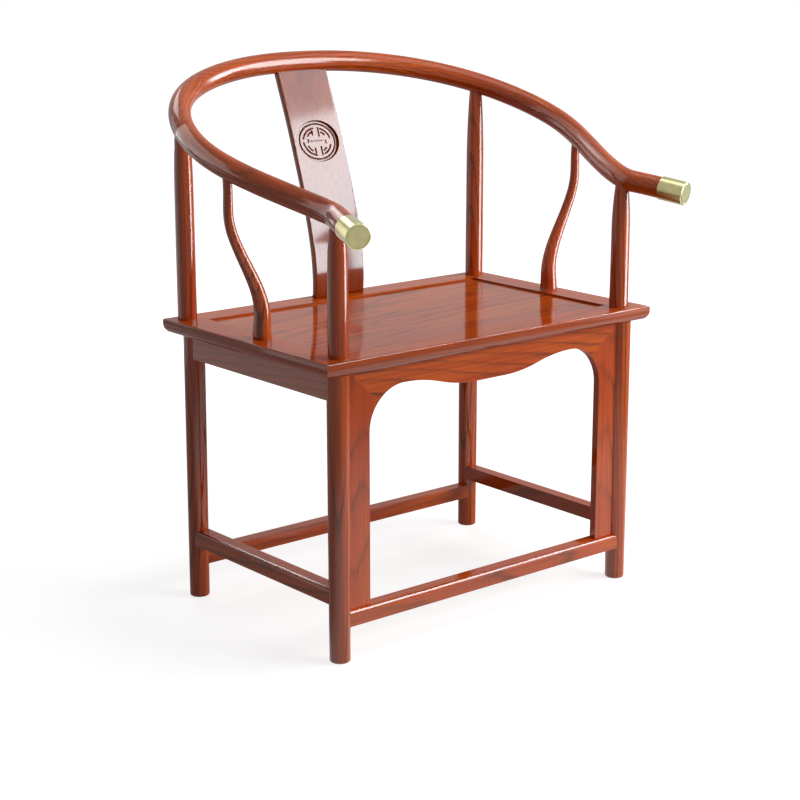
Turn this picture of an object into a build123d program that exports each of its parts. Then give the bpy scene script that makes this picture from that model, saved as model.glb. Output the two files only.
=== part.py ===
from build123d import *
import math
import os

os.makedirs("parts", exist_ok=True)

# Horseshoe back armchair.  Millimetres, +Z up, the front of the seat faces -Y.
# The origin is on the floor, under the middle of the whole chair.

# ---------------------------------------------------------------- seat frame
SEAT_WIDTH = 663.0
SEAT_DEPTH = 423.0
SEAT_TOP = 462.0
FRAME_THICK = 21.0
FRAME_RAIL_WIDTH = 51.5
EDGE_TOP_RADIUS = 2.5
EDGE_FLAT = 5.5
EDGE_UNDERCUT = 6.0

# Mitre tenons of the long rails, set into the short rails.
MITRE_TENON_THICK = 6.0
MITRE_TENON_WIDTH = 22.0
MITRE_TENON_FROM_EDGE = 14.0
MITRE_TENON_STOP = 8.0

# ---------------------------------------------------------------- seat panel
PANEL_RECESS = 3.0
PANEL_THICK = 12.0
PANEL_GAP = 0.4
TONGUE_THICK = 5.0
TONGUE_LENGTH = 6.0
TONGUE_DROP = 4.0
GROOVE_SPARE = 1.0

BATTEN_OFFSET = 110.0
BATTEN_WIDTH = 28.0
BATTEN_DEPTH = 14.0
DOVETAIL_HEIGHT = 3.0
DOVETAIL_TOP_WIDTH = 24.0
DOVETAIL_NECK_WIDTH = 18.0
BATTEN_TENON_WIDTH = 16.0
BATTEN_TENON_THICK = 5.0
BATTEN_TENON_LENGTH = 10.0

# ---------------------------------------------------------------- legs
LEG_INSET_SIDE = 38.5
LEG_INSET_FRONT = 25.5
LEG_SPLAY = 1.5
LEG_TOP_RADIUS = 17.0
LEG_FOOT_RADIUS = 16.0
FOOT_ROUND = 3.0
LEG_TOP_CHAMFER = 2.5
LEG_TENON_SIDE = 16.0
LEG_TENON_HEIGHT = 9.0

# ---------------------------------------------------------------- stretchers
STRETCHER_WIDTH = 26.0
STRETCHER_HEIGHT = 23.5
STRETCHER_ROUND = 6.5
FRONT_STRETCHER_BOTTOM = 54.3
SIDE_STRETCHER_BOTTOM = 89.4
STRETCHER_TENON_THICK = 11.0
STRETCHER_TENON_SHOULDER = 4.0
STRETCHER_TENON_DEPTH = 13.0

# ---------------------------------------------------------------- aprons
FRONT_BOARD_THICK = 12.0
FRONT_BOARD_PROUD = 5.0
LEG_TO_ARCH = 54.5
ARCH_RADIUS = 66.0
ARCH_PEAK_DROP = 31.8
ARCH_MIDDLE_DROP = 52.2
ARCH_MIDDLE_FLAT = 60.0
SIDE_APRON_HEIGHT = 42.4
SIDE_APRON_THICK = 14.0
SIDE_APRON_PROUD = 10.3
APRON_TONGUE_THICK = 6.0
APRON_TONGUE_DEPTH = 6.0
APRON_TONGUE_MARGIN = 10.0
APRON_TENON_DEPTH = 10.0
APRON_TOP_TONGUE = 4.0
SAW_SPARE = 1.0

# ---------------------------------------------------------------- horseshoe rail
RAIL_RADIUS = 17.2
CREST_RISE = 380.0
CREST_BEHIND_SEAT = 80.5
SHOULDER_OUT = 143.0
SHOULDER_FORWARD = 18.0
SHOULDER_DROP = 7.0
REAR_POST_RAIL_RISE = 336.5
WIDEST_BEYOND_SEAT = 31.0
WIDEST_BACK = 43.0
WIDEST_RISE = 280.8
FOREARM_BEYOND_POST = 26.6
FOREARM_BACK_OF_POST = 67.2
FOREARM_RISE = 224.9
FRONT_POST_RAIL_RISE = 206.8
RAIL_OUTSIDE_FRONT_POST = 8.3
TIP_BEYOND_POST = 41.0
TIP_AHEAD_OF_POST = 99.0
TIP_RISE = 190.3

# Lapped joints of the five rail pieces, each locked by a square key.
LAP_LENGTH = 84.0
KEY_SIDE = 8.0
REAR_LAP_AT = 0.27
SIDE_LAP_AT = 0.50

# ---------------------------------------------------------------- brass caps
CAP_RADIUS = 18.8
CAP_LENGTH = 42.0
CAP_END_THICK = 3.0
CAP_EDGE_ROUND = 1.2
CAP_FACE_RING_RADIUS = 16.2
CAP_FACE_RING_WIDTH = 0.9
CAP_FACE_RING_DEPTH = 0.5

# ---------------------------------------------------------------- posts
FRONT_POST_INSET_SIDE = 43.0
FRONT_POST_INSET_FRONT = 29.5
REAR_POST_INSET_SIDE = 28.5
REAR_POST_INSET_BACK = 27.2
POST_BASE_RADIUS = 15.3
POST_WAIST_RADIUS = 14.8
POST_NECK_RADIUS = 9.2
FRONT_NECK_LENGTH = 78.0
REAR_NECK_LENGTH = 136.0
POST_TENON_RADIUS = 8.0
POST_TENON_DEPTH = 9.0
POST_TOP_TENON_RADIUS = 6.0
POST_TOP_TENON_RISE = 5.0

# Curved side posts: a vertical foot, one easy S outwards, a vertical top.
SIDE_POST_BACK_OF_MIDDLE = -9.6
SIDE_POST_INSET = 34.0
SIDE_POST_BEND_START = 36.0
SIDE_POST_BEND_END = 197.0
SIDE_POST_TAPER_END = 150.0
SIDE_POST_TAPER_POWER = 1.3
SIDE_POST_FOOT_RADIUS = 14.6
SIDE_POST_BEND_RADIUS = 8.1
SIDE_POST_TOP_RADIUS = 6.6
SIDE_POST_TENON_RADIUS = 7.0
SIDE_POST_TOP_TENON_RADIUS = 4.5
SIDE_POST_STATIONS = 10
SIDE_POST_SLOPE_STEP = 1.0

# ---------------------------------------------------------------- back splat
SPLAT_WIDTH = 102.0
SPLAT_THICK = 10.0
SPLAT_FOOT_FROM_BACK = 28.9
SPLAT_BELLY_RISE = 36.0
SPLAT_BELLY_FORWARD = 1.0
SPLAT_MIDDLE_RISE = 190.0
SPLAT_MIDDLE_BACK = 33.0
SPLAT_UPPER_RISE = 307.0
SPLAT_UPPER_BACK = 74.5
SPLAT_ARRIS = 1.5
SPLAT_TENON_THICK = 6.0
SPLAT_TENON_SHOULDER = 11.0
SPLAT_TOP_TENON_RISE = 3.0
SPLAT_STATIONS = 24

# ---------------------------------------------------------------- worked out
half_width = SEAT_WIDTH / 2
half_depth = SEAT_DEPTH / 2
frame_bottom = SEAT_TOP - FRAME_THICK
inner_half_width = half_width - FRAME_RAIL_WIDTH
inner_half_depth = half_depth - FRAME_RAIL_WIDTH
panel_top = SEAT_TOP - PANEL_RECESS
panel_bottom = panel_top - PANEL_THICK
leg_x = half_width - LEG_INSET_SIDE
leg_y = half_depth - LEG_INSET_FRONT
leg_top_x = leg_x - LEG_SPLAY
leg_top_y = leg_y - LEG_SPLAY
front_post_x = half_width - FRONT_POST_INSET_SIDE
front_post_y = -half_depth + FRONT_POST_INSET_FRONT
rear_post_x = half_width - REAR_POST_INSET_SIDE
rear_post_y = half_depth - REAR_POST_INSET_BACK
side_post_foot_x = half_width - SIDE_POST_INSET
stretcher_top = FRONT_STRETCHER_BOTTOM + STRETCHER_HEIGHT

SIDES = {"left": -1, "right": 1}
ENDS = {"front": -1, "rear": 1}


pieces = {}


def keep(shape, name):
    """Remember one piece of the chair under its own name."""
    pieces[name] = shape


def upright_plane(y, height=0.0):
    """Plane facing the front at one depth, with X to the right and Y up."""
    return Plane(origin=(0, y, height), x_dir=(1, 0, 0), z_dir=(0, -1, 0))


def block(x_range, y_range, z_range):
    """A box between two corners given as ranges, in any order."""
    spans = [sorted(pair) for pair in (x_range, y_range, z_range)]
    sizes = [high - low for low, high in spans]
    middle = [(high + low) / 2 for low, high in spans]
    return Pos(*middle) * Box(*sizes)


def mirrored(shape):
    """The same piece for the other side of the chair."""
    return mirror(shape, about=Plane.YZ)


# ---------------------------------------------------------------- rail curve
crest = Vector(0, half_depth + CREST_BEHIND_SEAT, SEAT_TOP + CREST_RISE)
shoulder = Vector(SHOULDER_OUT, crest.Y - SHOULDER_FORWARD, crest.Z - SHOULDER_DROP)
over_rear_post = Vector(rear_post_x, rear_post_y, SEAT_TOP + REAR_POST_RAIL_RISE)
widest = Vector(half_width + WIDEST_BEYOND_SEAT, WIDEST_BACK, SEAT_TOP + WIDEST_RISE)
forearm = Vector(
    front_post_x + FOREARM_BEYOND_POST,
    front_post_y + FOREARM_BACK_OF_POST,
    SEAT_TOP + FOREARM_RISE,
)
over_front_post = Vector(
    front_post_x + RAIL_OUTSIDE_FRONT_POST, front_post_y, SEAT_TOP + FRONT_POST_RAIL_RISE
)
tip = Vector(
    front_post_x + TIP_BEYOND_POST, front_post_y - TIP_AHEAD_OF_POST, SEAT_TOP + TIP_RISE
)
tip_direction = (tip - over_front_post).normalized()
cap_mouth = tip - tip_direction * CAP_LENGTH
rail_end = tip - tip_direction * CAP_END_THICK


# Centre line of the right-hand half of the horseshoe, from the crest to the hand.
rail_curve = Spline(
    crest,
    shoulder,
    over_rear_post,
    widest,
    forearm,
    over_front_post,
    cap_mouth,
    tangents=[Vector(1, 0, 0), tip_direction],
)
rail_wire = Wire([rail_curve, Line(cap_mouth, rail_end)])
rail_start = Plane(origin=crest, x_dir=(0, 1, -1), z_dir=(1, 0, 0))
half_rail = sweep(rail_start * Circle(RAIL_RADIUS), path=rail_wire)

RAIL_STATIONS = 400
rail_points = [rail_curve @ (step / RAIL_STATIONS) for step in range(RAIL_STATIONS + 1)]


def rail_height_at(x, y):
    """Height of the rail's centre line over a point of the floor plan."""
    nearest = min(rail_points, key=lambda point: math.hypot(point.X - x, point.Y - y))
    return nearest.Z


def lap_plane(along):
    """Frame of a lapped joint: X along the rail, Z across the lap."""
    tangent = rail_curve % along
    up = Vector(0, 0, 1)
    across = (up - tangent * up.dot(tangent)).normalized()
    return Plane(origin=rail_curve @ along, x_dir=tangent, z_dir=across)


rear_lap = lap_plane(REAR_LAP_AT)
side_lap = lap_plane(SIDE_LAP_AT)
REACH = 4 * SEAT_WIDTH
half_lap = LAP_LENGTH / 2
clear_of_rail = 2 * RAIL_RADIUS


def beyond(plane):
    """What the piece nearer the crest leaves to its neighbour at a lap."""
    whole = block((half_lap, REACH), (-REACH, REACH), (-REACH, REACH))
    lower = block((-half_lap, half_lap), (-clear_of_rail, clear_of_rail), (-clear_of_rail, 0))
    return plane * (whole + lower)


def before(plane):
    """What the piece nearer the hand leaves to its neighbour at a lap."""
    whole = block((-REACH, -half_lap), (-REACH, REACH), (-REACH, REACH))
    upper = block((-half_lap, half_lap), (-clear_of_rail, clear_of_rail), (0, clear_of_rail))
    return plane * (whole + upper)


def key_hole(plane):
    return plane * Box(KEY_SIDE, KEY_SIDE, 2 * clear_of_rail)


# ---------------------------------------------------------------- legs
def plain_leg(side, end):
    """A round leg, thicker at the top and leaning in towards the seat."""
    foot = Pos(side * leg_x, end * leg_y, 0) * Circle(LEG_FOOT_RADIUS)
    head = Pos(side * leg_top_x, end * leg_top_y, frame_bottom) * Circle(LEG_TOP_RADIUS)
    leg = loft([foot, head])
    rims = leg.edges().filter_by(GeomType.CIRCLE).sort_by(Axis.Z)
    leg = chamfer(rims[-1], LEG_TOP_CHAMFER)
    rims = leg.edges().filter_by(GeomType.CIRCLE).sort_by(Axis.Z)
    return fillet(rims[0], FOOT_ROUND)


def leg_tenon(side, end):
    half = LEG_TENON_SIDE / 2
    x = side * leg_top_x
    y = end * leg_top_y
    return block(
        (x - half, x + half), (y - half, y + half), (frame_bottom, frame_bottom + LEG_TENON_HEIGHT)
    )


plain_legs = {
    (end, side): plain_leg(SIDES[side], ENDS[end]) for end in ENDS for side in SIDES
}
all_plain_legs = list(plain_legs.values())


def less(shape, cutters):
    for cutter in cutters:
        shape = shape - cutter
    return shape


# ---------------------------------------------------------------- stretchers
tenon_back = STRETCHER_TENON_DEPTH - LEG_FOOT_RADIUS


def stretcher(half_span, bottom):
    """A bar along X, rounded on its upper outer arris, outer side at -Y."""
    half = STRETCHER_WIDTH / 2
    bar = block((-half_span, half_span), (-half, half), (bottom, bottom + STRETCHER_HEIGHT))
    outer_arris = bar.edges().filter_by(Axis.X).sort_by(Axis.Z)[-2:].sort_by(Axis.Y)[0]
    return fillet(outer_arris, STRETCHER_ROUND)


def stretcher_tenons(half_span, bottom):
    """Both end tenons of a bar along X."""
    half = STRETCHER_TENON_THICK / 2
    low = bottom + STRETCHER_TENON_SHOULDER
    high = bottom + STRETCHER_HEIGHT - STRETCHER_TENON_SHOULDER
    outer = half_span + tenon_back
    inner = half_span - LEG_TOP_RADIUS - STRETCHER_TENON_SHOULDER
    right = block((inner, outer), (-half, half), (low, high))
    return [right, mirrored(right)]


def placed(shape, turn, distance):
    """Turn a piece made for the front about Z and move it out to its side."""
    return Rot(0, 0, turn) * Pos(0, -distance, 0) * shape


stretcher_places = {
    "front": (0, leg_y, leg_x, FRONT_STRETCHER_BOTTOM),
    "back": (180, leg_y, leg_x, FRONT_STRETCHER_BOTTOM),
    "right": (90, leg_x, leg_y, SIDE_STRETCHER_BOTTOM),
    "left": (-90, leg_x, leg_y, SIDE_STRETCHER_BOTTOM),
}
leg_mortises = []
for name, (turn, distance, half_span, bottom) in stretcher_places.items():
    bar = less(placed(stretcher(half_span, bottom), turn, distance), all_plain_legs)
    tenons = [placed(t, turn, distance) for t in stretcher_tenons(half_span, bottom)]
    leg_mortises += tenons
    keep(bar + tenons[0] + tenons[1], f"stretcher_{name}")

# ---------------------------------------------------------------- front apron
arch_half_width = leg_x - LEG_TO_ARCH
arch_peak_z = frame_bottom - ARCH_PEAK_DROP
arch_middle_z = frame_bottom - ARCH_MIDDLE_DROP
arch_centre_x = arch_half_width - ARCH_RADIUS
arch_spring_z = arch_peak_z - ARCH_RADIUS
board_front = -leg_y - FRONT_BOARD_PROUD
board_back = board_front + FRONT_BOARD_THICK


def arch_opening():
    """The cusped opening under the front apron, as a solid to cut with."""
    flat = ARCH_MIDDLE_FLAT / 2
    swing = Vector((arch_centre_x + flat) / 2, (arch_peak_z + arch_middle_z) / 2)
    with BuildLine() as outline:
        Line((0, stretcher_top), (arch_half_width, stretcher_top))
        Line((arch_half_width, stretcher_top), (arch_half_width, arch_spring_z))
        TangentArc(
            (arch_half_width, arch_spring_z), (arch_centre_x, arch_peak_z), tangent=(0, 1)
        )
        TangentArc((arch_centre_x, arch_peak_z), (swing.X, swing.Y), tangent=(-1, 0))
        TangentArc((flat, arch_middle_z), (swing.X, swing.Y), tangent=(1, 0))
        Line((flat, arch_middle_z), (0, arch_middle_z))
        Line((0, arch_middle_z), (0, stretcher_top))
    face = upright_plane(board_back + SAW_SPARE) * make_face(outline.line)
    right = extrude(face, amount=FRONT_BOARD_THICK + 2 * SAW_SPARE)
    return right + mirrored(right)


front_screen = less(
    block((-leg_x, leg_x), (board_front, board_back), (stretcher_top, frame_bottom)),
    all_plain_legs + [arch_opening()],
)

# The mitre runs down at 45 degrees from where the leg meets the seat frame.
mitre_x = leg_x - LEG_TOP_RADIUS
mitre_reach = SEAT_TOP


def below_mitre():
    """Everything outside and below the right-hand mitre of the front apron."""
    corner = (mitre_x, frame_bottom)
    inner = (mitre_x - mitre_reach, frame_bottom - mitre_reach)
    outer = (mitre_x + mitre_reach, frame_bottom - mitre_reach)
    far = (mitre_x + mitre_reach, frame_bottom)
    wedge = make_face(Polyline(corner, inner, outer, far, close=True))
    face = upright_plane(board_back + SAW_SPARE) * wedge
    return extrude(face, amount=FRONT_BOARD_THICK + 2 * SAW_SPARE)


board_middle_y = (board_front + board_back) / 2
tongue_half = APRON_TONGUE_THICK / 2
apron_tongue = block(
    (mitre_x - APRON_TONGUE_MARGIN, leg_x - LEG_FOOT_RADIUS + APRON_TONGUE_DEPTH),
    (board_middle_y - tongue_half, board_middle_y + tongue_half),
    (
        SIDE_STRETCHER_BOTTOM + STRETCHER_HEIGHT,
        frame_bottom - SIDE_APRON_HEIGHT,
    ),
)
top_tongue = block(
    (-mitre_x + APRON_TONGUE_MARGIN, mitre_x - APRON_TONGUE_MARGIN),
    (board_middle_y - APRON_TOP_TONGUE / 2, board_middle_y + APRON_TOP_TONGUE / 2),
    (frame_bottom - APRON_TOP_TONGUE, frame_bottom + APRON_TOP_TONGUE),
)
right_wedge = below_mitre()
board_right = (front_screen & right_wedge) + apron_tongue
keep(front_screen - right_wedge - mirrored(right_wedge) + top_tongue, "apron_front")
keep(board_right, "apron_front_board_right")
keep(mirrored(board_right), "apron_front_board_left")
leg_mortises += [apron_tongue, mirrored(apron_tongue)]
frame_mortises = [top_tongue]

# ---------------------------------------------------------------- plain aprons
def plain_apron(half_span):
    """A straight board along X, outer face towards -Y, with its end tenons."""
    outer = -SIDE_APRON_PROUD
    inner = outer + SIDE_APRON_THICK
    middle = (outer + inner) / 2
    low = frame_bottom - SIDE_APRON_HEIGHT
    board = block((-half_span, half_span), (outer, inner), (low, frame_bottom))
    leg_side = half_span - LEG_TOP_RADIUS
    tenon = block(
        (leg_side - APRON_TONGUE_MARGIN, leg_side + APRON_TENON_DEPTH),
        (middle - tongue_half, middle + tongue_half),
        (low + APRON_TONGUE_MARGIN, frame_bottom - APRON_TONGUE_MARGIN),
    )
    rib = block(
        (-half_span + 2 * LEG_TOP_RADIUS, half_span - 2 * LEG_TOP_RADIUS),
        (middle - APRON_TOP_TONGUE / 2, middle + APRON_TOP_TONGUE / 2),
        (frame_bottom - APRON_TOP_TONGUE, frame_bottom + APRON_TOP_TONGUE),
    )
    return board, [tenon, mirrored(tenon)], rib


apron_places = {
    "back": (180, leg_y, leg_x),
    "right": (90, leg_x, leg_y),
    "left": (-90, leg_x, leg_y),
}
for name, (turn, distance, half_span) in apron_places.items():
    board, tenons, rib = plain_apron(half_span)
    board = less(placed(board, turn, distance), all_plain_legs)
    tenons = [placed(tenon, turn, distance) for tenon in tenons]
    rib = placed(rib, turn, distance)
    leg_mortises += tenons
    frame_mortises.append(rib)
    keep(board + tenons[0] + tenons[1] + rib, f"apron_{name}")

for (end, side), leg in plain_legs.items():
    leg = less(leg, leg_mortises) + leg_tenon(SIDES[side], ENDS[end])
    frame_mortises.append(leg_tenon(SIDES[side], ENDS[end]))
    keep(leg, f"leg_{end}_{side}")


# ---------------------------------------------------------------- posts
def straight_post(x, y, rail_z, neck_length):
    """A turned post that narrows to a neck under the rail."""
    neck_start = rail_z - neck_length
    with BuildLine() as outline:
        Line((0, SEAT_TOP), (POST_BASE_RADIUS, SEAT_TOP))
        shank = Line((POST_BASE_RADIUS, SEAT_TOP), (POST_WAIST_RADIUS, neck_start))
        TangentArc(shank @ 1, (POST_NECK_RADIUS, rail_z), tangent=shank % 1)
        Line((POST_NECK_RADIUS, rail_z), (0, rail_z))
        Line((0, rail_z), (0, SEAT_TOP))
    turned = revolve(Plane.XZ * make_face(outline.line), axis=Axis.Z)
    return Pos(x, y, 0) * turned


def round_tenon(x, y, radius, low, high):
    return Pos(x, y, low) * Cylinder(
        radius, high - low, align=(Align.CENTER, Align.CENTER, Align.MIN)
    )


rail_mortises = []
post_places = {
    "front": (front_post_x, front_post_y, FRONT_NECK_LENGTH),
    "rear": (rear_post_x, rear_post_y, REAR_NECK_LENGTH),
}
for end, (x, y, neck_length) in post_places.items():
    rail_z = rail_height_at(x, y)
    foot = round_tenon(x, y, POST_TENON_RADIUS, SEAT_TOP - POST_TENON_DEPTH, SEAT_TOP)
    head = round_tenon(
        x, y, POST_TOP_TENON_RADIUS, rail_z - clear_of_rail, rail_z + POST_TOP_TENON_RISE
    )
    post = straight_post(x, y, rail_z, neck_length) - half_rail + foot + head
    frame_mortises += [foot, mirrored(foot)]
    rail_mortises.append(head)
    keep(post, f"post_{end}_right")
    keep(mirrored(post), f"post_{end}_left")


# ---------------------------------------------------------------- curved side posts
def side_post_x(rise):
    """Distance of the post's centre line from the chair's middle at a height."""
    bend = (rise - SIDE_POST_BEND_START) / (SIDE_POST_BEND_END - SIDE_POST_BEND_START)
    bend = min(max(bend, 0.0), 1.0)
    swing = side_post_top_x - side_post_foot_x
    return side_post_foot_x + swing * bend * bend * (3 - 2 * bend)


def side_post_radius(rise):
    """Full at the foot, easing to slender where the bend ends."""
    if rise < SIDE_POST_TAPER_END:
        ease = (1 - rise / SIDE_POST_TAPER_END) ** SIDE_POST_TAPER_POWER
        return SIDE_POST_BEND_RADIUS + (SIDE_POST_FOOT_RADIUS - SIDE_POST_BEND_RADIUS) * ease
    ease = (rise - SIDE_POST_TAPER_END) / (side_post_rise - SIDE_POST_TAPER_END)
    return SIDE_POST_BEND_RADIUS + (SIDE_POST_TOP_RADIUS - SIDE_POST_BEND_RADIUS) * ease


def rail_point_at_depth(y):
    """Point of the right-hand half of the rail's centre line at one depth."""
    forward_half = rail_points[RAIL_STATIONS // 2 :]
    return min(forward_half, key=lambda point: abs(point.Y - y))


rail_over_side_post = rail_point_at_depth(SIDE_POST_BACK_OF_MIDDLE)
side_post_top_x = rail_over_side_post.X
side_post_rise = rail_over_side_post.Z - SEAT_TOP


def curved_post():
    sections = []
    for station in range(SIDE_POST_STATIONS + 1):
        rise = side_post_rise * station / SIDE_POST_STATIONS
        lean = side_post_x(rise + SIDE_POST_SLOPE_STEP) - side_post_x(rise - SIDE_POST_SLOPE_STEP)
        origin = (side_post_x(rise), SIDE_POST_BACK_OF_MIDDLE, SEAT_TOP + rise)
        plane = Plane(origin=origin, x_dir=(0, 1, 0), z_dir=(lean, 0, 2 * SIDE_POST_SLOPE_STEP))
        sections.append(plane * Circle(side_post_radius(rise)))
    return loft(sections)


side_post_foot = round_tenon(
    side_post_foot_x,
    SIDE_POST_BACK_OF_MIDDLE,
    SIDE_POST_TENON_RADIUS,
    SEAT_TOP - POST_TENON_DEPTH,
    SEAT_TOP,
)
side_post_head = round_tenon(
    side_post_top_x,
    SIDE_POST_BACK_OF_MIDDLE,
    SIDE_POST_TOP_TENON_RADIUS,
    rail_over_side_post.Z - RAIL_RADIUS - SIDE_POST_TOP_TENON_RADIUS,
    rail_over_side_post.Z + POST_TOP_TENON_RISE,
)
side_post = curved_post() - half_rail + side_post_foot + side_post_head
keep(side_post, "side_post_right")
keep(mirrored(side_post), "side_post_left")
frame_mortises += [side_post_foot, mirrored(side_post_foot)]
rail_mortises.append(side_post_head)

# ---------------------------------------------------------------- back splat
splat_foot_y = half_depth - SPLAT_FOOT_FROM_BACK


def splat_line():
    """Side view of the splat's front face, as depth and height."""
    foot = Vector(splat_foot_y, SEAT_TOP)
    belly = Vector(splat_foot_y - SPLAT_BELLY_FORWARD, SEAT_TOP + SPLAT_BELLY_RISE)
    middle = Vector(splat_foot_y + SPLAT_MIDDLE_BACK, SEAT_TOP + SPLAT_MIDDLE_RISE)
    upper = Vector(splat_foot_y + SPLAT_UPPER_BACK, SEAT_TOP + SPLAT_UPPER_RISE)
    head = Vector(crest.Y - SPLAT_THICK / 2, crest.Z)
    return Spline(foot, belly, middle, upper, head)


def splat_blank(width, thick, start, finish):
    """A curved board of the splat's line, centred in the splat's thickness."""
    line = splat_line()
    fractions = [
        start + (finish - start) * step / SPLAT_STATIONS for step in range(SPLAT_STATIONS + 1)
    ]
    front = []
    back = []
    for fraction in fractions:
        along = min(max(fraction, 0.0), 1.0)
        tangent = line % along
        point = line @ along + tangent * (fraction - along) * line.length
        normal = Vector(-tangent.Y, tangent.X) * -1
        front.append(point + normal * (SPLAT_THICK - thick) / 2)
        back.append(point + normal * (SPLAT_THICK + thick) / 2)
    with BuildLine() as outline:
        face_line = Spline(*front)
        rear_line = Spline(*back)
        Line(face_line @ 0, rear_line @ 0)
        Line(face_line @ 1, rear_line @ 1)
    side_view = Plane(origin=(-width / 2, 0, 0), x_dir=(0, 1, 0), z_dir=(1, 0, 0))
    return extrude(side_view * make_face(outline.line), amount=width)


splat_length = splat_line().length
foot_share = POST_TENON_DEPTH / splat_length
head_share = SPLAT_TOP_TENON_RISE / splat_length
splat_body = splat_blank(SPLAT_WIDTH, SPLAT_THICK, -foot_share, 1)
splat_body = splat_body - block((-REACH, REACH), (-REACH, REACH), (0, SEAT_TOP))
long_edges = splat_body.edges().filter_by(GeomType.BSPLINE)
splat_body = chamfer(long_edges, SPLAT_ARRIS)
splat_body = less(splat_body, [half_rail, mirrored(half_rail)])
tenon_width = SPLAT_WIDTH - 2 * SPLAT_TENON_SHOULDER
splat_tenon = splat_blank(tenon_width, SPLAT_TENON_THICK, -foot_share, 1 + head_share)
keep(splat_body + splat_tenon, "back_splat")
frame_mortises.append(splat_tenon)
rail_mortises.append(splat_tenon)

# ---------------------------------------------------------------- horseshoe pieces
drilled = less(half_rail, rail_mortises)
half_crest = less(drilled, [beyond(rear_lap), key_hole(rear_lap)])
keep(half_crest + mirrored(half_crest), "crest_rail")
shoulder_rail = less(
    drilled, [before(rear_lap), beyond(side_lap), key_hole(rear_lap), key_hole(side_lap)]
)
arm_rail = less(drilled, [before(side_lap), key_hole(side_lap)])
rear_key = half_rail & key_hole(rear_lap)
side_key = half_rail & key_hole(side_lap)
paired = {
    "shoulder_rail": shoulder_rail,
    "arm_rail": arm_rail,
    "rear_lap_key": rear_key,
    "side_lap_key": side_key,
}
for name, piece in paired.items():
    keep(piece, f"{name}_right")
    keep(mirrored(piece), f"{name}_left")


# ---------------------------------------------------------------- brass caps
def brass_cap():
    """A drawn cup over the end of the arm, with a ring turned in its face."""
    cup = Cylinder(CAP_RADIUS, CAP_LENGTH, align=(Align.CENTER, Align.CENTER, Align.MIN))
    bore = Cylinder(
        RAIL_RADIUS, CAP_LENGTH - CAP_END_THICK, align=(Align.CENTER, Align.CENTER, Align.MIN)
    )
    cup = fillet(cup.edges().sort_by(Axis.Z)[-1], CAP_EDGE_ROUND)
    ring = Cylinder(CAP_FACE_RING_RADIUS, CAP_FACE_RING_DEPTH) - Cylinder(
        CAP_FACE_RING_RADIUS - CAP_FACE_RING_WIDTH, CAP_FACE_RING_DEPTH
    )
    cup = cup - bore - Pos(0, 0, CAP_LENGTH - CAP_FACE_RING_DEPTH / 2) * ring
    return Plane(origin=cap_mouth, z_dir=tip_direction) * cup


cap = brass_cap()
keep(cap, "brass_cap_right")
keep(mirrored(cap), "brass_cap_left")


# ---------------------------------------------------------------- seat frame
def rail_section():
    """Cross-section of a frame rail: X outwards from its inner edge, Y up."""
    width = FRAME_RAIL_WIDTH
    with BuildLine() as outline:
        Line((0, 0), (width - EDGE_TOP_RADIUS, 0))
        TangentArc((width - EDGE_TOP_RADIUS, 0), (width, -EDGE_TOP_RADIUS), tangent=(1, 0))
        Line((width, -EDGE_TOP_RADIUS), (width, -EDGE_TOP_RADIUS - EDGE_FLAT))
        TangentArc(
            (width, -EDGE_TOP_RADIUS - EDGE_FLAT),
            (width - EDGE_UNDERCUT, -FRAME_THICK),
            tangent=(0, -1),
        )
        Line((width - EDGE_UNDERCUT, -FRAME_THICK), (0, -FRAME_THICK))
        Line((0, -FRAME_THICK), (0, 0))
    return make_face(outline.line)


tongue_top = panel_top - TONGUE_DROP
groove_depth = TONGUE_LENGTH + GROOVE_SPARE
groove = block(
    (-inner_half_width - groove_depth, inner_half_width + groove_depth),
    (-inner_half_depth - groove_depth, inner_half_depth + groove_depth),
    (tongue_top - TONGUE_THICK, tongue_top),
)
frame_middle = SEAT_TOP - FRAME_THICK / 2


def frame_rail(length, reach):
    """A mitred frame rail along X with its outer edge at -Y."""
    inner_end = (length / 2, FRAME_RAIL_WIDTH - reach, SEAT_TOP)
    plane = Plane(origin=inner_end, x_dir=(0, -1, 0), z_dir=(-1, 0, 0))
    bar = extrude(plane * rail_section(), amount=length)
    half = length / 2
    trapezoid = Polyline(
        (-half, -reach),
        (half, -reach),
        (half - FRAME_RAIL_WIDTH, FRAME_RAIL_WIDTH - reach),
        (FRAME_RAIL_WIDTH - half, FRAME_RAIL_WIDTH - reach),
        close=True,
    )
    mitres = extrude(Pos(0, 0, frame_bottom) * make_face(trapezoid), amount=FRAME_THICK)
    return bar & mitres


def mitre_tenon(sign, end):
    """Tenon of a long rail, reaching past the mitre into the short rail."""
    outer_y = half_depth - MITRE_TENON_FROM_EDGE
    return block(
        (sign * inner_half_width, sign * (half_width - MITRE_TENON_STOP)),
        (end * outer_y, end * (outer_y - MITRE_TENON_WIDTH)),
        (frame_middle - MITRE_TENON_THICK / 2, frame_middle + MITRE_TENON_THICK / 2),
    )


def mitre_tenons(end):
    return [mitre_tenon(sign, end) for sign in SIDES.values()]


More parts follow.
